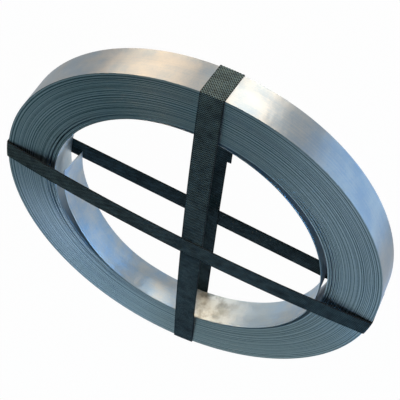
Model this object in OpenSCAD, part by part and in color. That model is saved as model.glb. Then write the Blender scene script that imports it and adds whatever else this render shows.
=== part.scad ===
// Coil of galvanised steel strapping band, lying flat and tied across its bore by two plastic straps.
// The origin is on the coil's axis at floor level, and +Z is the axis. Sizes are in millimetres.

/* [Steel band] */
// Width of the band, which is the height of the coil as it lies
band_w = 25; // [13:0.5:50]
// Thickness of the band
band_t = 0.5; // [0.3:0.05:1.2]

/* [Tight laps] */
// Bore inside the tightly wound laps
coil_bore = 212; // [180:1:400]
// Number of tightly wound laps
lap_count = 74; // [20:1:110]
// Most that the edge of one lap stands above the lowest one
edge_stagger = 0.3; // [0:0.05:0.6]

/* [Sprung inner lap] */
// Angle of the cut inner end of the band, from +X
tail_angle = -6.5; // [-20:0.5:10]
// How far the cut end has sprung in from the bore
tail_spring = 11; // [2:0.5:18]
// Angle in which the sprung end comes back to the bore
tail_sweep = 100; // [60:5:115]
// Lean of the cut from square across the band
tail_lean = 11; // [0:1:20]
// How far the slack part of the lap stands in from the bore
slack_depth = 6; // [1:0.5:12]
// Angle past the cut end at which the slack part begins
slack_start = 126; // [120:1:140]
// Angle that the slack part covers
slack_sweep = 175; // [140:5:185]
// Gap left where the lap lies along the bore
lap_gap = 0.3; // [0.2:0.05:0.6]

/* [Tie straps] */
// Width of both straps
strap_w = 16; // [9:0.5:22]
// Thickness of both straps
strap_t = 0.6; // [0.4:0.05:1.2]
// Clearance between a strap and the rim that it is folded round
strap_fit = 0.2; // [0.1:0.05:0.8]
// Clearance where the outer strap crosses the inner one
cross_gap = 0.3; // [0.1:0.05:0.8]

/* [Inner strap] */
// Place of its top run along X
inner_x_top = -8; // [-15:0.1:15]
// Place of its upper end along X, under the rim beside the weld
inner_x_near = -10; // [-15:0.1:15]
// Place of its bottom run along X
inner_x_far = -7.1; // [-15:0.1:15]
// Bow of its top run above the coil's face
inner_bow = 5.7; // [2:0.1:12]
// Overlap of its two ends at the weld
weld_overlap = 36; // [25:1:45]
// Length in which the upper end climbs onto the lower one
weld_ramp = 6; // [3:0.5:10]
// Turn of the upper end out of line with the lower one
weld_skew = 0.3; // [0:0.1:4]

/* [Outer strap] */
// Direction of the outer strap, from X
outer_turn = -7.45; // [-12:0.05:12]
// Sideways place of its top run
outer_shift_top = 4; // [-12:0.1:12]
// Sideways place of its bottom run
outer_shift_bottom = 0.8; // [-12:0.1:12]

/* [Hidden] */
$fn = 180;

steel = [0.56, 0.61, 0.65];
strap_black = [0.13, 0.19, 0.20];

// The coil lies on the bottom runs of the straps
base_z = strap_t;
bore_r = coil_bore / 2;
coil_r = bore_r + lap_count * band_t;

coil_top = base_z + band_w + edge_stagger;

// The straps are folded about the edges of the rim, and stand off it by their clearance
outer_bow = inner_bow + strap_t + cross_gap;
strap_reach = coil_r + strap_fit + strap_t;
strap_height = coil_top + outer_bow + strap_fit + strap_t;

// Room past a face that is cut, so that no cut ends on the face itself
margin = 1;

// The sprung lap is drawn in steps of this many degrees
lap_step = 2.5;
join_at = slack_start + slack_sweep;
join_sweep = 10;

// Steps in a fold of a strap and in its bowed run
fold_steps = 6;
bow_steps = 14;

// Edge height of one lap above the lowest, spread so that neighbours differ
function lap_shift(lap) = edge_stagger * (0.5 + 0.3 * sin(137.5 * lap) + 0.2 * sin(48 * lap));
function lap_r(lap) = bore_r + lap * band_t;

// How far the sprung lap stands in from the bore, by the angle past its cut end
function tail_in(past) = past < tail_sweep ? tail_spring * pow(cos(90 * max(past, 0) / tail_sweep), 2) : 0;
function slack_in(past) =
    past > slack_start && past < join_at
        ? slack_depth * pow(sin(180 * (past - slack_start) / slack_sweep), 2)
        : 0;
// Its last stretch passes into the tight laps
function join_out(past) = past > join_at ? (lap_gap + 2 * band_t) * (past - join_at) / join_sweep : 0;
function lap_back(past) = bore_r - lap_gap - tail_in(past) - slack_in(past) + join_out(past);
function lap_front(past) = lap_back(past) - band_t;
function polar(r, angle) = [r * cos(angle), r * sin(angle)];

// Length that the lean adds along one edge of the cut end
tail_run = band_w * tan(tail_lean);
tail_extra = (tail_run + margin) / lap_front(0) * 180 / PI;

// The inner strap's bottom runs leave the coil where both their edges are clear of the sprung lap above them
function edge_leans(x) = [for (side = [-1, 1]) asin((x + side * strap_w / 2) / bore_r)];
near_y = min([for (lean = edge_leans(inner_x_near)) lap_front(270 + lean - tail_angle) * cos(lean)]) - strap_t;
far_y = min([for (lean = edge_leans(inner_x_far)) lap_front(90 - lean - tail_angle) * cos(lean)]) - strap_t;
lower_end = near_y - weld_ramp - strap_t;
upper_end = lower_end - weld_overlap;
// It rises over the outer strap where the two cross
cross_y = (outer_shift_bottom + sin(outer_turn) * inner_x_far) / cos(outer_turn);
cross_half = strap_w / 2 * (1 / cos(outer_turn) + abs(tan(outer_turn))) + strap_t;
cross_rise = strap_t + cross_gap;

module tight_laps() {
    rotate_extrude()
        polygon(concat(
            [for (lap = [0 : lap_count - 1], side = [0, 1])
                [lap_r(lap + side), base_z + lap_shift(lap)]],
            [for (lap = [lap_count - 1 : -1 : 0], side = [1, 0])
                [lap_r(lap + side), base_z + band_w + lap_shift(lap)]]));
}

// Innermost lap, which has sprung off the bore at its cut end and lies slack on the far side
module sprung_lap() {
    places = [for (past = [-tail_extra : lap_step : join_at + join_sweep]) past];
    difference() {
        translate([0, 0, base_z])
            linear_extrude(height = band_w)
                polygon(concat(
                    [for (past = places) polar(lap_back(past), tail_angle + past)],
                    [for (i = [len(places) - 1 : -1 : 0]) polar(lap_front(places[i]), tail_angle + places[i])]));
        tail_cut();
    }
}

// Wedge that trims the cut end to its lean
module tail_cut() {
    rotate([0, 0, tail_angle])
        translate([lap_front(0) - tail_spring, 0, base_z])
            rotate([90, 0, 90])
                linear_extrude(height = 2 * tail_spring)
                    polygon([
                        [margin * tan(tail_lean), -margin],
                        [-tail_run - margin * tan(tail_lean), band_w + margin],
                        [-2 * (tail_run + margin), band_w + margin],
                        [-2 * (tail_run + margin), -margin]]);
}

module band_coil() {
    color(steel) {
        tight_laps();
        sprung_lap();
    }
}

// Round fold of a strap about an edge of the rim, from one angle to another
function fold(r, edge_z, from, to) =
    [for (i = [0 : fold_steps]) [coil_r, edge_z] + polar(r, from + (to - from) * i / fold_steps)];

// Section of a strap laid round the coil, turned about the coil's axis: flat below, folded round
// the rim, and bowed above as an arc that passes over the edge of the rim and the top of the bow
module strap_turn(bow) {
    arc_r = (coil_r * coil_r + bow * bow) / (2 * bow);
    arc_z = coil_top + bow - arc_r;
    arc_end = asin(coil_r / arc_r);
    inside = strap_fit;
    outside = strap_fit + strap_t;
    rotate_extrude()
        polygon(concat(
            [[0, 0]],
            fold(outside, outside, -90, 0),
            fold(outside, coil_top, 0, 90 - arc_end),
            [for (i = [1 : bow_steps]) [0, arc_z] + polar(arc_r + outside, 90 - arc_end * (1 - i / bow_steps))],
            [for (i = [bow_steps : -1 : 1]) [0, arc_z] + polar(arc_r + inside, 90 - arc_end * (1 - i / bow_steps))],
            fold(inside, coil_top, 90 - arc_end, 0),
            fold(inside, outside, 0, -90),
            [[0, strap_t]]));
}

// Upright slice as wide as a strap, along +X from a little behind the axis, whose middle leans from one
// sideways place to another as it goes up the rim
module strap_slice(shift_bottom, shift_top) {
    half = strap_w / 2;
    translate([-margin, 0, 0])
        rotate([90, 0, 90])
            linear_extrude(height = strap_reach + 2 * margin)
                polygon([
                    [shift_bottom - half, 0],
                    [shift_bottom + half, 0],
                    [shift_bottom + half, base_z],
                    [shift_top + half, base_z + band_w],
                    [shift_top + half, strap_height],
                    [shift_top - half, strap_height],
                    [shift_top - half, base_z + band_w],
                    [shift_bottom - half, base_z]]);
}

// Flat strip of strap along Y whose lower face follows the given places and heights
module strap_run(path) {
    last = len(path) - 1;
    translate([-strap_w / 2, 0, 0])
        rotate([90, 0, 90])
            linear_extrude(height = strap_w)
                polygon(concat(path, [for (i = [last : -1 : 0]) path[i] + [0, strap_t]]));
}

// Strap that was tied first, with its ends welded one on the other under the coil
module inner_tie_strap() {
    color(strap_black) {
        difference() {
            intersection() {
                strap_turn(inner_bow);
                union() {
                    rotate([0, 0, 90]) strap_slice(-inner_x_far, -inner_x_top);
                    rotate([0, 0, -90]) strap_slice(inner_x_near, inner_x_top);
                }
            }
            translate([-bore_r, -near_y, -margin])
                cube([coil_bore, near_y + far_y, strap_t + 2 * margin]);
        }
        translate([inner_x_far, 0, 0])
            strap_run([
                [far_y + strap_t, 0],
                [far_y, 0],
                [cross_y + cross_half, cross_rise],
                [cross_y - cross_half, cross_rise],
                [-upper_end, 0],
                [-lower_end, 0]]);
        translate([inner_x_near, -near_y, 0])
            rotate([0, 0, weld_skew])
                strap_run([
                    [-strap_t, 0],
                    [0, 0],
                    [weld_ramp, strap_t],
                    [near_y - upper_end, strap_t]]);
    }
}

// Strap that was tied second, over the first
module outer_tie_strap() {
    color(strap_black)
        intersection() {
            strap_turn(outer_bow);
            union() {
                rotate([0, 0, outer_turn]) strap_slice(outer_shift_bottom, outer_shift_top);
                rotate([0, 0, outer_turn + 180]) strap_slice(-outer_shift_bottom, -outer_shift_top);
            }
        }
}

band_coil();
inner_tie_strap();
outer_tie_strap();
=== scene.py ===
import math

import bpy
import numpy as np
from mathutils import Matrix, Vector


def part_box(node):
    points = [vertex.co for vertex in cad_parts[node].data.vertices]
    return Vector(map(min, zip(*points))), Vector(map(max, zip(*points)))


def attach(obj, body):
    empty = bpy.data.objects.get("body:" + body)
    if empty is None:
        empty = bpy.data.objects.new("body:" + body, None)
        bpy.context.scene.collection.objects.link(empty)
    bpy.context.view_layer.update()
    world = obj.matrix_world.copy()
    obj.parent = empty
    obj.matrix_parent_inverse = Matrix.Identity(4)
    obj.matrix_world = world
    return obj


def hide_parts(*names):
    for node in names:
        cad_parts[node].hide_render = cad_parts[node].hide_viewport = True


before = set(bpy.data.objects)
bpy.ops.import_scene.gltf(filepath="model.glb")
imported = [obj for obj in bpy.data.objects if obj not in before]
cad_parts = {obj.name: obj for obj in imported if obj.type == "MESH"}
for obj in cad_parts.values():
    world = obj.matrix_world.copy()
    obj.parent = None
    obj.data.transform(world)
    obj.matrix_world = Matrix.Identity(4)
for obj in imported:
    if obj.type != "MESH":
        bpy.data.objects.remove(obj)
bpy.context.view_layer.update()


# The band is one strip of galvanised steel, slit to 25 mm and wound on a drum into some 74 laps,
# edge on edge. When the drum came out, its inner end sprang off the laps behind it and hangs free,
# a second stretch across from it bowed inwards, and the next few laps loosened with them.

coil_low, coil_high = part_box("band_coil")
base_height = coil_low.z
coil_radius = coil_high.y
bore_radius = 0.106
band_width = 0.025
band_thick = 0.00044
edge_bevel = 0.00008
edge_drop = 0.00004
lap_climb = 0.00016
rings_in_a_turn = 156.38
free_rings = 360
sharp_angle = math.radians(20)
outer_end_angle = math.radians(266.4)
whole_turns = 74

# The free inner lap
cut_angle = math.radians(-6.5)
cut_lean = math.tan(math.radians(11)) * band_width / bore_radius
end_spring = 0.0078
end_twist = 0.2
end_hold = math.radians(25)
end_return = math.radians(50)
lean_reach = math.radians(9.2)
bow_depth = 0.0039
bow_start = math.radians(126)
bow_sweep = math.radians(175)
join_at = bow_start + bow_sweep
join_fade = math.radians(20)
free_gap = 0.0010
follow_depth = 0.0015
follow_start = math.radians(10)
follow_sweep = math.radians(62)

# The laps behind it that have loosened into bundles
laps_in_bundle = 3.3
laps_short = 2
bundle_angle = math.radians(130)
loose_bundles = 2.2
loose_spring = 0.0015
loose_pitch = 0.00048
loose_by_end = (math.radians(10), math.radians(115), 1.0)
loose_by_bow = (math.radians(200), math.radians(66), 0.8)

# Share, number in a turn and start of each wave in the height of the laps' edges
rise_waves = ((0.34, 0.382, 0.0), (0.22, 2.618, 1.0), (0.26, 0.083, 2.0), (0.18, 1.171, 0.0))

# Tone of the laps' edges
rng = np.random.default_rng(25)
draws_in_a_turn = 3.7
spare_turns = 4
lap_weights = {-2: -0.18, -1: -0.32, 0: 1, 1: -0.32, 2: -0.18}
middle_tone = 0.5
tone_spread = 0.2
free_lap_tone = 0.22


def squared_sine(share):
    """A hump: the square of the sine over half a turn as share runs from 0 to 1, and 0 outside."""
    return np.sin(math.pi * np.clip(share, 0, 1)) ** 2


def looseness(past):
    """How loose the laps are at an angle, from 0 to 1: a hump beside the cut end and one beside the bow."""
    loose = 0
    for middle, reach, most in (loose_by_end, loose_by_bow):
        aside = np.mod(past + cut_angle - middle + math.pi, math.tau) - math.pi
        loose = np.maximum(loose, most * squared_sine(0.5 + 0.5 * aside / reach))
    return loose


def free_share(past):
    """1 along the free first lap, falling to 0 just before it joins the wound ones."""
    return np.clip((join_at - past) / join_fade, 0, 1)


def band_radius(past, height_share=0):
    """Radius of the band's middle at each angle past the cut end.
    Tight laps climb evenly from the bore to the outside. Loose ones start further in and lie in
    close-set bundles, with gaps between the bundles that die away from the bore outwards; the band
    passes from one bundle to the next at an angle where it is tight. The first lap stands a little
    clear of them: its cut end is held in and goes back by a squared cosine, less at the upper edge,
    and it has a hump further on. The lap behind it follows it in by a smaller hump."""
    laps = (past_end - join_at) / math.tau
    lap = (past - join_at) / math.tau
    room = coil_radius - bore_radius - band_thick
    tight = bore_radius + band_thick / 2 + room / laps * lap
    spare = room + loose_spring - loose_pitch * laps
    whole_laps = np.floor(np.maximum(past - math.tau + cut_angle - bundle_angle, 0) / math.tau)
    bundle = np.floor((whole_laps + laps_short) / laps_in_bundle)
    opened = spare * (1 - np.exp(-((bundle / loose_bundles) ** 2)))
    loose = bore_radius + band_thick / 2 - loose_spring + loose_pitch * lap + opened
    wound = tight + looseness(past) * (loose - tight)
    end_share = np.clip((past - end_hold) / end_return, 0, 1)
    sprung = end_spring * (1 - end_twist * height_share) * np.cos(math.pi / 2 * end_share) ** 2
    bowed = bow_depth * squared_sine((past - bow_start) / bow_sweep)
    followed = follow_depth * squared_sine((past - math.tau - follow_start) / follow_sweep)
    return wound - free_gap * free_share(past) - sprung - bowed - followed


def lap_rise(past):
    """How far each lap's edge stands above the lowest: a sum of slow and quick sine waves that
    never fall in step with a turn, so that neighbouring laps stand at different heights."""
    waves = sum(share * np.sin(past * number + start) for share, number, start in rise_waves)
    return lap_climb * np.clip(0.5 + 0.5 * waves, 0, 1)


def lap_tones(turns):
    """Tone of the slit edge along the band: straight lines between random draws at even steps, less a
    share of the two nearest laps on either side, so that light and dark laps lie close together."""
    draws = rng.normal(size=int((turns.max() + spare_turns) * draws_in_a_turn))
    drawn_at = np.arange(len(draws)) / draws_in_a_turn
    return sum(share * np.interp(turns + lap, drawn_at, draws) for lap, share in lap_weights.items())


past_end = outer_end_angle - cut_angle + math.tau * (whole_turns - 1)
wound_rings = int((past_end - join_at) / math.tau * rings_in_a_turn)
free_past = np.linspace(0, join_at, free_rings, endpoint=False)
ring_past = np.append(free_past, np.linspace(join_at, past_end, wound_rings))[:, None]
ring_count = len(ring_past)

# Eight corners of the strip's section, bevelled at its four edges: along the lower edge from the
# inside, up the outer wall, back along the upper edge and down the inner wall
section_out = np.array([-1, 1, 1, 1, 1, -1, -1, -1]) * band_thick / 2
section_out += np.array([1, -1, 0, 0, -1, 1, 0, 0]) * edge_bevel
section_up = np.array([0, 0, 1, -1, 0, 0, -1, 1]) * edge_drop
section_up = section_up + band_width * np.array([0, 0, 0, 1, 1, 1, 1, 0])
corners = len(section_out)

lean_fade = np.clip(1 - ring_past / lean_reach, 0, 1)
height_share = (section_up / band_width)[None, :]
point_past = ring_past - cut_lean * lean_fade * height_share
point_radius = band_radius(point_past, height_share) + section_out[None, :]
point_angle = point_past + cut_angle
band_points = np.stack(
    [
        point_radius * np.cos(point_angle),
        point_radius * np.sin(point_angle),
        base_height + lap_rise(ring_past) + section_up[None, :],
    ],
    axis=-1,
).reshape(-1, 3)

ring = np.arange(ring_count - 1)[:, None] * corners
side = np.arange(corners)[None, :]
next_side = (side + 1) % corners
band_quads = np.stack(
    [ring + side, ring + side + corners, ring + next_side + corners, ring + next_side], axis=-1
).reshape(-1, 4)
last_ring = (ring_count - 1) * corners
band_faces = band_quads.tolist()
band_faces.append(list(range(corners)))
band_faces.append(list(range(last_ring + corners - 1, last_ring - 1, -1)))

band_mesh = bpy.data.meshes.new("steel_band")
band_mesh.from_pydata(band_points, [], band_faces)
band_mesh.shade_smooth()
band_mesh.set_sharp_from_angle(angle=sharp_angle)

# The two walls have the rolled finish, and the edges, bevels and ends the slit one
slit_sides = np.array([1, 1, 0, 1, 1, 1, 0, 1])
band_mesh.polygons.foreach_set(
    "material_index", np.append(np.tile(slit_sides, ring_count - 1), [1, 1])
)
ring_turn = ring_past / math.tau
ring_tone = middle_tone + tone_spread * lap_tones(ring_turn) + free_lap_tone * free_share(ring_past)
band_run = np.stack(np.broadcast_arrays(ring_turn, height_share, ring_tone), axis=-1)
run_attribute = band_mesh.attributes.new("band_run", "FLOAT_VECTOR", "POINT")
run_attribute.data.foreach_set("vector", band_run.astype(np.float32).ravel())
steel_band = bpy.data.objects.new("steel_band", band_mesh)
bpy.context.scene.collection.objects.link(steel_band)


class Tone:
    """One socket of a finish. Arithmetic on it adds Math nodes, and node() adds any other kind."""

    def __init__(self, tree, socket=None):
        self.tree = tree
        self.socket = socket

    def node(self, kind, settings=None, sockets=None, out=0):
        """Adds a node of this type, makes its settings, then fills or links its sockets."""
        made = self.tree.nodes.new(kind)
        for name, setting in (settings or {}).items():
            if name == "stops":
                for place, colour in setting[2:]:
                    made.color_ramp.elements.new(place)
                for element, (place, colour) in zip(made.color_ramp.elements, setting):
                    element.position = place
                    element.color = (*colour, 1)
            else:
                setattr(made, name, setting)
        for name, given in (sockets or {}).items():
            if isinstance(given, Tone):
                self.tree.links.new(given.socket, made.inputs[name])
            else:
                made.inputs[name].default_value = given
        return Tone(self.tree, made.outputs[out])

    def math(self, operation, first, second):
        """Adds a Math node that works on two values."""
        return self.node("ShaderNodeMath", {"operation": operation}, {0: first, 1: second})

    def __add__(self, other):
        return self.math("ADD", self, other)

    def __sub__(self, other):
        return self.math("SUBTRACT", self, other)

    def __rsub__(self, other):
        return self.math("SUBTRACT", other, self)

    def __mul__(self, other):
        return self.math("MULTIPLY", self, other)

    __radd__ = __add__
    __rmul__ = __mul__

    def between(self, low, high):
        """0 where this is below low, 1 where it is above high, and a smooth step between."""
        limits = {"Value": self, "From Min": low, "From Max": high}
        return self.node("ShaderNodeMapRange", {"interpolation_type": "SMOOTHSTEP"}, limits)

    def blend(self, first, second):
        """The first colour where this is 0, the second where it is 1."""
        colours = {0: self, 6: first, 7: second}
        return self.node("ShaderNodeMix", {"data_type": "RGBA"}, colours, out=2)


steel_finish = bpy.data.materials.new("galvanised_steel")
steel_finish.use_nodes = True
steel = Tone(steel_finish.node_tree)
steel_shader = steel_finish.node_tree.nodes["Principled BSDF"]
place = steel.node("ShaderNodeTexCoord", out="Object")
run = steel.node("ShaderNodeAttribute", {"attribute_name": "band_run"}, out="Vector")
turn = steel.node("ShaderNodeSeparateXYZ", sockets={0: run}, out="X")


def along_band(finish, lengthways, across):
    """The band's own run stretched, so that a pattern is long in the way that the strip was rolled."""
    return finish.node(
        "ShaderNodeVectorMath",
        {"operation": "MULTIPLY"},
        {0: run, 1: (lengthways, across, 0)},
    )


def cloud(finish, where, scale, detail=2.0, roughness=0.5):
    """Soft noise from 0 to 1 at a scale per metre or per unit of where."""
    sockets = {"Vector": where, "Scale": scale, "Detail": detail, "Roughness": roughness}
    return finish.node("ShaderNodeTexNoise", None, sockets)


mottle = cloud(steel, place, 70, detail=3)
grain = cloud(steel, place, 900)
streaks = cloud(steel, along_band(steel, 4, 38), 1, detail=3, roughness=0.6)
waves = cloud(steel, along_band(steel, 16, 1.6), 1, detail=1)

# Zinc that is dulled on the outer laps, fresh on the inner ones, and palest on a short stretch just behind
# the cut end
exposed_from = (60, 72)
palest_from, palest_to = (0.8, 0.95), (1.04, 1.10)
dull_cool = (0.256, 0.316, 0.372, 1)
dull_warm = (0.408, 0.41, 0.402, 1)
fresh_cool = (0.275, 0.42, 0.58, 1)
fresh_warm = (0.545, 0.56, 0.55, 1)
palest_cool = (0.52, 0.64, 0.72, 1)
palest_warm = (0.72, 0.74, 0.73, 1)
spangle = (mottle * 0.55 + streaks * 0.30 + grain * 0.15).between(0.33, 0.67)
exposed = turn.between(*exposed_from)
palest_stretch = turn.between(*palest_from) * (1 - turn.between(*palest_to))
fresh_colour = spangle.blend(fresh_cool, fresh_warm)
palest_colour = spangle.blend(palest_cool, palest_warm)
dull_colour = spangle.blend(dull_cool, dull_warm)
clean_colour = exposed.blend(palest_stretch.blend(fresh_colour, palest_colour), dull_colour)

# Beside the inner strap the free lap carries dark smudges nearest the strap, and around and beyond them its
# zinc is lifted to a painted highlight
strap_side = (0.275, 0.290)
smudged_to = (0.30, 0.36)
highlight_to = (0.32, 0.46)
highlight_and_smudge_strength = 0.8
# Painted highlight colour; the smudged colour below is a real stain
painted_highlight = (0.70, 0.80, 0.84, 1)
smudged = (0.20, 0.225, 0.215, 1)
highlight_and_smudging = turn.between(*strap_side) * (1 - turn.between(*highlight_to)) * highlight_and_smudge_strength
smudges = cloud(steel, place, 95, detail=4, roughness=0.6).between(0.36, 0.70)
smudges = smudges * (1 - turn.between(*smudged_to))
zinc_colour = highlight_and_smudging.blend(clean_colour, smudges.blend(painted_highlight, smudged))

zinc_rough = 0.46 + (streaks - 0.5) * 0.16 + (mottle - 0.5) * 0.14
wave_height = waves * (1.4 - exposed * 0.6) + mottle * (0.7 - exposed * 0.4)
wave_height = wave_height + streaks * 0.02 + grain * 0.004
relief_sockets = {"Strength": 1.0, "Distance": 0.0012, "Height": wave_height}
relief = steel.node("ShaderNodeBump", None, relief_sockets)
for socket_name, varying in (
    ("Base Color", zinc_colour),
    ("Roughness", zinc_rough),
    ("Normal", relief),
):
    steel_finish.node_tree.links.new(varying.socket, steel_shader.inputs[socket_name])
steel_shader.inputs["Metallic"].default_value = 1.0
steel_shader.inputs["Anisotropic"].default_value = 0.9
steel_shader.inputs["Anisotropic Rotation"].default_value = 0.25
band_mesh.materials.append(steel_finish)

slit_finish = bpy.data.materials.new("slit_steel")
slit_finish.use_nodes = True
slit = Tone(slit_finish.node_tree)
slit_shader = slit_finish.node_tree.nodes["Principled BSDF"]
slit_place = slit.node("ShaderNodeTexCoord", out="Object")
slit_run = slit.node("ShaderNodeAttribute", {"attribute_name": "band_run"}, out="Vector")
lap_tone = slit.node("ShaderNodeSeparateXYZ", sockets={0: slit_run}, out="Z")
burr = cloud(slit, slit_place, 420, detail=3, roughness=0.6)
slit_dark = (0.072, 0.11, 0.112, 1)
slit_pale = (0.48, 0.54, 0.545, 1)
slit_tone = (lap_tone * 0.9 + burr * 0.1).between(0.25, 0.75)
slit_colour = slit_tone.blend(slit_dark, slit_pale)
slit_rough = 0.335 + (burr - 0.5) * 0.10
slit_finish.node_tree.links.new(slit_colour.socket, slit_shader.inputs["Base Color"])
slit_finish.node_tree.links.new(slit_rough.socket, slit_shader.inputs["Roughness"])
slit_shader.inputs["Metallic"].default_value = 1.0
band_mesh.materials.append(slit_finish)
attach(steel_band, "root")
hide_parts("band_coil")


# The inner tie strap is black extruded plastic with a diamond waffle rolled into both faces.
# It goes once round the whole coil, over the rim on both sides, and its ends are lapped and welded
# underneath.

strap_width = 0.016
strap_thick = 0.0006
strap_clearance = 0.0002
pit_depth = 0.00024
half_diamond = 0.0009
# Ridge value of the plain margins, which sets how much painted sheen or painted pit shade they take
margin_ridge_value = 0.6
bend_from = 0.5
fold_points = 5
bow_points = 60
edge_stagger = 0.0003
coil_top = base_height + band_width + edge_stagger
inner_bow = 0.0057
inner_x_top = -0.008
inner_x_near = -0.010
inner_x_far = -0.0071
weld_skew = math.radians(0.3)
weld_overlap = 0.036
weld_ramp = 0.006
leaves_coil_at = np.radians([275, 95])
lap_room = 0.0004
crossing_gap = 0.0003
cross_margin = 0.0018
outer_turn = math.radians(-7.45)
outer_shift_top = 0.004
outer_shift_bottom = 0.0008


def half_round_the_coil(bow):
    """Half a strap's line, distance out from the axis and height: level from under the coil to its
    rim, a quarter turn up, straight up the rim, then a fold onto a shallow arc that bows over the top."""
    rim_offset = strap_clearance + strap_thick / 2
    low_fold = math.pi / 2 * np.linspace(-1, 0, fold_points)
    arc_radius = (coil_radius**2 + bow**2) / (2 * bow)
    arc_centre = coil_top + bow - arc_radius
    arc_half = math.asin(coil_radius / arc_radius)
    high_fold = np.linspace(0, math.pi / 2 - arc_half, fold_points)
    over = np.linspace(math.pi / 2 - arc_half, math.pi / 2, bow_points)
    low_middle = strap_thick + strap_clearance
    out = np.concatenate(
        [
            coil_radius + rim_offset * np.cos(low_fold),
            coil_radius + rim_offset * np.cos(high_fold),
            (arc_radius + rim_offset) * np.cos(over),
        ]
    )
    up = np.concatenate(
        [
            low_middle + rim_offset * np.sin(low_fold),
            coil_top + rim_offset * np.sin(high_fold),
            arc_centre + (arc_radius + rim_offset) * np.sin(over),
        ]
    )
    return np.stack([out, up], axis=1)


def waffle_strap(name, line, sideways, turn_angle, closed):
    """A flat strap carried along a line of (distance, height) points, turned about the upright axis.
    Each face is a grid of half diamonds whose points stand by turns at the surface and a pit's depth
    below it. Where the strap lies on the round rim, each point is drawn in by the circle's own fall."""
    ends = np.vstack([line, line[:1]]) if closed else line
    aside = np.append(sideways, sideways[:1]) if closed else sideways
    steps = np.hypot(*np.diff(ends, axis=0).T)
    length = np.concatenate([[0], np.cumsum(steps)])
    rows = 2 * round(length[-1] / half_diamond / 2)
    at = np.arange(rows) * length[-1] / (rows if closed else rows - 1)
    out = np.interp(at, length, ends[:, 0])
    up = np.interp(at, length, ends[:, 1])
    aside = np.interp(at, length, aside)
    if closed:
        slope = np.stack([np.roll(v, -1) - np.roll(v, 1) for v in (out, up)])
    else:
        slope = np.stack([np.gradient(out), np.gradient(up)])
    slope /= np.hypot(*slope)
    columns = 2 * round(strap_width / half_diamond / 2) + 1
    column = np.arange(columns)[None, :]
    row = np.arange(rows)[:, None]
    across = np.linspace(-strap_width / 2, strap_width / 2, columns)[None, :] + aside[:, None]
    inside_margin = (column > 0) & (column < columns - 1)
    odd = (row + column) % 2 == 1
    pits = {1: odd & inside_margin, -1: ~odd & inside_margin}
    fall = coil_radius - np.sqrt(coil_radius**2 - across**2)
    on_rim = np.clip((np.abs(out) / coil_radius - bend_from) / (1 - bend_from), 0, 1)
    drawn_in = np.sign(out)[:, None] * fall * (on_rim**2 * (3 - 2 * on_rim))[:, None]
    cos_turn, sin_turn = math.cos(turn_angle), math.sin(turn_angle)
    faces_points = []
    for facing, pitted in pits.items():
        lift = strap_thick / 2 - pit_depth * pitted
        distance = out[:, None] + facing * lift * slope[1][:, None] - drawn_in
        height = up[:, None] - facing * lift * slope[0][:, None]
        faces_points.append(
            np.stack(
                [
                    distance * cos_turn - across * sin_turn,
                    distance * sin_turn + across * cos_turn,
                    height,
                ],
                axis=-1,
            ).reshape(-1, 3)
        )
    points = np.vstack(faces_points)

    cell_row = np.arange(rows if closed else rows - 1)[:, None]
    next_row = (cell_row + 1) % rows
    cell_column = np.arange(columns - 1)[None, :]
    near = cell_row * columns + cell_column
    far = next_row * columns + cell_column
    even = ((cell_row + cell_column) % 2 == 0)[..., None]
    rising = np.stack([near, far + 1, far, near, near + 1, far + 1], -1)
    falling = np.stack([near, near + 1, far, near + 1, far + 1, far], -1)
    outside = np.where(even, rising, falling).reshape(-1, 3)
    under = rows * columns
    inside = np.where(even, falling, rising).reshape(-1, 3)[:, ::-1] + under
    low_edge = (cell_row * columns).ravel()
    low_next = (next_row * columns).ravel()
    high_edge = low_edge + columns - 1
    high_next = low_next + columns - 1
    low_side = np.stack([low_edge, low_next, low_next + under, low_edge + under], -1)
    high_side = np.stack([high_edge, high_edge + under, high_next + under, high_next], -1)
    faces = outside.tolist() + inside.tolist()
    faces += low_side.tolist() + high_side.tolist()
    if not closed:
        start = np.arange(columns)
        faces.append(np.concatenate([start[::-1], start + under]).tolist())
        last = start + (rows - 1) * columns
        faces.append(np.concatenate([last, last[::-1] + under]).tolist())
    mesh = bpy.data.meshes.new(name)
    mesh.from_pydata(points, [], faces)
    ridge = mesh.attributes.new("ridge", "FLOAT", "POINT")
    raised = np.concatenate([np.where(inside_margin, ~pits[facing], margin_ridge_value) for facing in pits])
    ridge.data.foreach_set("value", raised.astype(np.float32).ravel())
    made = bpy.data.objects.new(name, mesh)
    bpy.context.scene.collection.objects.link(made)
    return made


inner_half = half_round_the_coil(inner_bow)
near_end, far_end = band_radius(leaves_coil_at) - band_thick / 2 - strap_thick - lap_room
lower_end = near_end - weld_ramp - strap_thick
upper_end = lower_end - weld_overlap
cross_middle = outer_shift_bottom + math.sin(outer_turn) * inner_x_far
cross_middle /= math.cos(outer_turn)
cross_half = strap_width / 2 / math.cos(outer_turn) + cross_margin
cross_height = strap_thick * 1.5 + crossing_gap
floor_height = strap_thick / 2
lower_run = np.array(
    [
        [-lower_end, floor_height],
        [-upper_end, floor_height],
        [cross_middle - cross_half, cross_height],
        [cross_middle + cross_half, cross_height],
        [far_end, floor_height],
    ]
)
upper_run = np.array(
    [
        [-near_end, floor_height],
        [-near_end + weld_ramp, floor_height + strap_thick],
        [-upper_end, floor_height + strap_thick],
    ]
)
inner_line = np.vstack([lower_run, inner_half, inner_half[-2::-1] * [-1, 1], upper_run])
up_the_rim = np.clip(inner_half[:, 1] / (base_height + band_width), 0, 1)
far_aside = -inner_x_far - (inner_x_top - inner_x_far) * up_the_rim
near_aside = -inner_x_near - (inner_x_top - inner_x_near) * up_the_rim
weld_aside = -inner_x_near + math.tan(weld_skew) * (near_end + upper_run[:, 0])
inner_aside = np.concatenate(
    [np.full(len(lower_run), -inner_x_far), far_aside, near_aside[-2::-1], weld_aside]
)
inner_strap = waffle_strap("inner_strap", inner_line, inner_aside, math.pi / 2, closed=False)

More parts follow.
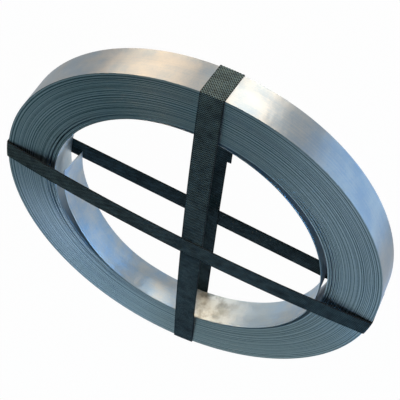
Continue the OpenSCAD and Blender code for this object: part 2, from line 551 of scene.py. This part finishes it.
plastic_finish = bpy.data.materials.new("black_strap_plastic")
plastic_finish.use_nodes = True
plastic = Tone(plastic_finish.node_tree)
plastic_shader = plastic_finish.node_tree.nodes["Principled BSDF"]
strap_place = plastic.node("ShaderNodeTexCoord", out="Object")
ridge_mark = plastic.node("ShaderNodeAttribute", {"attribute_name": "ridge"}, out="Fac")
scuff = cloud(plastic, strap_place, 160, detail=4, roughness=0.6)
dust = cloud(plastic, strap_place, 45, detail=3)
# The pale ridges are partly wear and partly a painted sheen, and the near-black pits are painted shade in
# the waffle's recesses
pit_painted_shade = (0.001, 0.003, 0.004, 1)
ridge_wear_and_sheen = (0.074, 0.115, 0.121, 1)
wear_and_sheen = (ridge_mark + (scuff - 0.5) * 0.5 + (dust - 0.5) * 0.3).between(0.62, 0.98)
plastic_colour = wear_and_sheen.blend(pit_painted_shade, ridge_wear_and_sheen)
plastic_rough = 0.75 - wear_and_sheen * 0.30 + (scuff - 0.5) * 0.14
plastic_shader.inputs["Specular IOR Level"].default_value = 0.16
plastic_finish.node_tree.links.new(plastic_colour.socket, plastic_shader.inputs["Base Color"])
plastic_finish.node_tree.links.new(plastic_rough.socket, plastic_shader.inputs["Roughness"])
inner_strap.data.materials.append(plastic_finish)
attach(inner_strap, "root")
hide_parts("inner_tie_strap")


# The outer tie strap is the same plastic, put on second: it crosses over the inner one on top
# and under it below, runs a little askew, and is drawn as one closed loop.

outer_bow = inner_bow + strap_thick + crossing_gap
outer_half = half_round_the_coil(outer_bow)
outer_line = np.vstack([[[0, floor_height]], outer_half, outer_half[-2::-1] * [-1, 1]])
rise_share = np.clip(outer_line[:, 1] / (base_height + band_width), 0, 1)
outer_aside = outer_shift_bottom + (outer_shift_top - outer_shift_bottom) * rise_share
outer_strap = waffle_strap("outer_strap", outer_line, outer_aside, outer_turn, closed=True)
outer_strap.data.materials.append(plastic_finish)
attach(outer_strap, "root")
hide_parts("outer_tie_strap")


# The floor is a wide plain sheet of matt white, just under the straps. It shows as white to the
# camera and in the steel, and still takes the coil's shadow.

floor_reach = 12.0
floor_drop = 0.0001
white_share = 0.98
floor_mesh = bpy.data.meshes.new("floor")
floor_corners = floor_reach * np.array([[-1, -1, 0], [1, -1, 0], [1, 1, 0], [-1, 1, 0]])
floor_mesh.from_pydata(floor_corners - [0, 0, floor_drop], [], [[0, 1, 2, 3]])
floor = bpy.data.objects.new("floor", floor_mesh)
bpy.context.scene.collection.objects.link(floor)
floor_finish = bpy.data.materials.new("floor_white")
floor_finish.use_nodes = True
paper = Tone(floor_finish.node_tree)
floor_finish.node_tree.nodes.remove(floor_finish.node_tree.nodes["Principled BSDF"])
seen = paper.node("ShaderNodeLightPath", out="Is Camera Ray")
mirrored = paper.node("ShaderNodeLightPath", out="Is Glossy Ray")
through = paper.node("ShaderNodeLightPath", out="Is Transmission Ray")
shown = paper.math("MAXIMUM", paper.math("MAXIMUM", seen, mirrored), through)
matt = paper.node("ShaderNodeBsdfDiffuse", None, {"Color": (0.86, 0.86, 0.86, 1)})
white = paper.node("ShaderNodeEmission", None, {"Color": (1, 1, 1, 1), "Strength": 1.0})
floor_mix = paper.node("ShaderNodeMixShader", None, {0: shown * white_share, 1: matt, 2: white})
floor_output = floor_finish.node_tree.nodes["Material Output"]
floor_finish.node_tree.links.new(floor_mix.socket, floor_output.inputs["Surface"])
floor_mesh.materials.append(floor_finish)


# Soft light: a world that is pale at the horizon and darkens with height, warm panels low in front,
# blue ones low at the right of the picture, one high panel behind the coil and three small cards
# behind it that show in the laps' edges.

world = bpy.data.worlds.new("studio")
world.use_nodes = True
bpy.context.scene.world = world
sky = Tone(world.node_tree)
direction = sky.node("ShaderNodeTexCoord", out="Generated")
sky_height = sky.node("ShaderNodeSeparateXYZ", sockets={0: direction}, out="Z")
sky_stops = [
    (0.0, (0.62, 0.66, 0.70)),
    (0.12, (0.25, 0.31, 0.35)),
    (0.28, (0.118, 0.186, 0.209)),
    (0.50, (0.098, 0.174, 0.2)),
    (1.0, (0.098, 0.174, 0.2)),
]
sky_colour = sky.node("ShaderNodeValToRGB", {"stops": sky_stops}, {0: sky_height}, out="Color")
world.node_tree.links.new(sky_colour.socket, world.node_tree.nodes["Background"].inputs["Color"])
world.node_tree.nodes["Background"].inputs["Strength"].default_value = 1.0


def panel(name, place, aim, size, power, colour):
    """A rectangular lamp at a place in metres, turned to face its aim."""
    lamp = bpy.data.lights.new(name, "AREA")
    lamp.shape = "RECTANGLE"
    lamp.size, lamp.size_y = size
    lamp.energy = power
    lamp.color = colour
    made = bpy.data.objects.new(name, lamp)
    made.location = place
    made.rotation_mode = "QUATERNION"
    made.rotation_quaternion = (Vector(aim) - Vector(place)).to_track_quat("-Z", "Y")
    bpy.context.scene.collection.objects.link(made)


def round_about(bearing, rise, distance):
    """A place at a bearing from +X and a rise above the floor, in degrees, and a distance in metres."""
    level = distance * math.cos(math.radians(rise))
    turned_to = math.radians(bearing)
    height = distance * math.sin(math.radians(rise))
    return (level * math.cos(turned_to), level * math.sin(turned_to), height)


panel("white_panel", round_about(261, 3, 1.1), (0, 0, 0), (0.46, 0.10), 11.5, (1.0, 0.87, 0.72))
panel("warm_panel", round_about(308, 6, 1.1), (0, 0, 0), (0.66, 0.2), 11.4, (1.0, 0.71, 0.45))
panel("cool_panel", round_about(194.5, 6, 1.2), (0, 0, 0), (1.26, 0.2), 11.1, (0.20, 0.54, 1.0))
panel("blue_panel", round_about(126, 5, 1.2), (0, 0, 0), (0.6, 0.2), 2.4, (0.06, 0.42, 1.0))
panel("side_panel", round_about(118, 56, 1.2), (0, 0, 0), (0.36, 0.36), 3.0, (0.60, 0.71, 0.97))
panel("back_card", (-0.04, 0.50, 0.21), (0, 0, 0), (0.36, 0.19), 0.115, (0.82, 0.95, 1.0))
panel("upper_card", (-0.01, 0.50, 0.53), (0, 0, 0), (0.16, 0.16), 0.05, (0.85, 0.95, 1.0))
panel("corner_card", (0.18, 0.50, 0.23), (0.08, 0.08, 0), (0.14, 0.14), 0.095, (0.56, 0.75, 1.0))


# The camera looks down on the coil from its front at the photograph's angle, rolled over so that
# the near rim is at the top of the picture.

view_azimuth = math.radians(13.987)
view_elevation = math.radians(35.508)
view_roll = math.radians(149.846)
view_distance = 0.648096
view_aim = Vector((-0.003688, -0.026035, 0.013081))
forward = Vector(
    (
        math.sin(view_azimuth) * math.cos(view_elevation),
        math.cos(view_azimuth) * math.cos(view_elevation),
        -math.sin(view_elevation),
    )
)
level_right = Vector((math.cos(view_azimuth), -math.sin(view_azimuth), 0))
level_up = level_right.cross(forward)
camera_right = level_right * math.cos(view_roll) - level_up * math.sin(view_roll)
camera_up = level_up * math.cos(view_roll) + level_right * math.sin(view_roll)
camera_data = bpy.data.cameras.new("camera")
camera_data.lens = 84.526
camera_data.sensor_width = 36
camera_data.clip_start = 0.01
camera_data.clip_end = 100
camera = bpy.data.objects.new("camera", camera_data)
turned = Matrix((camera_right, camera_up, -forward)).transposed().to_4x4()
camera.matrix_world = Matrix.Translation(view_aim - forward * view_distance) @ turned
bpy.context.scene.collection.objects.link(camera)
bpy.context.scene.camera = camera
bpy.context.scene.view_settings.view_transform = "Standard"
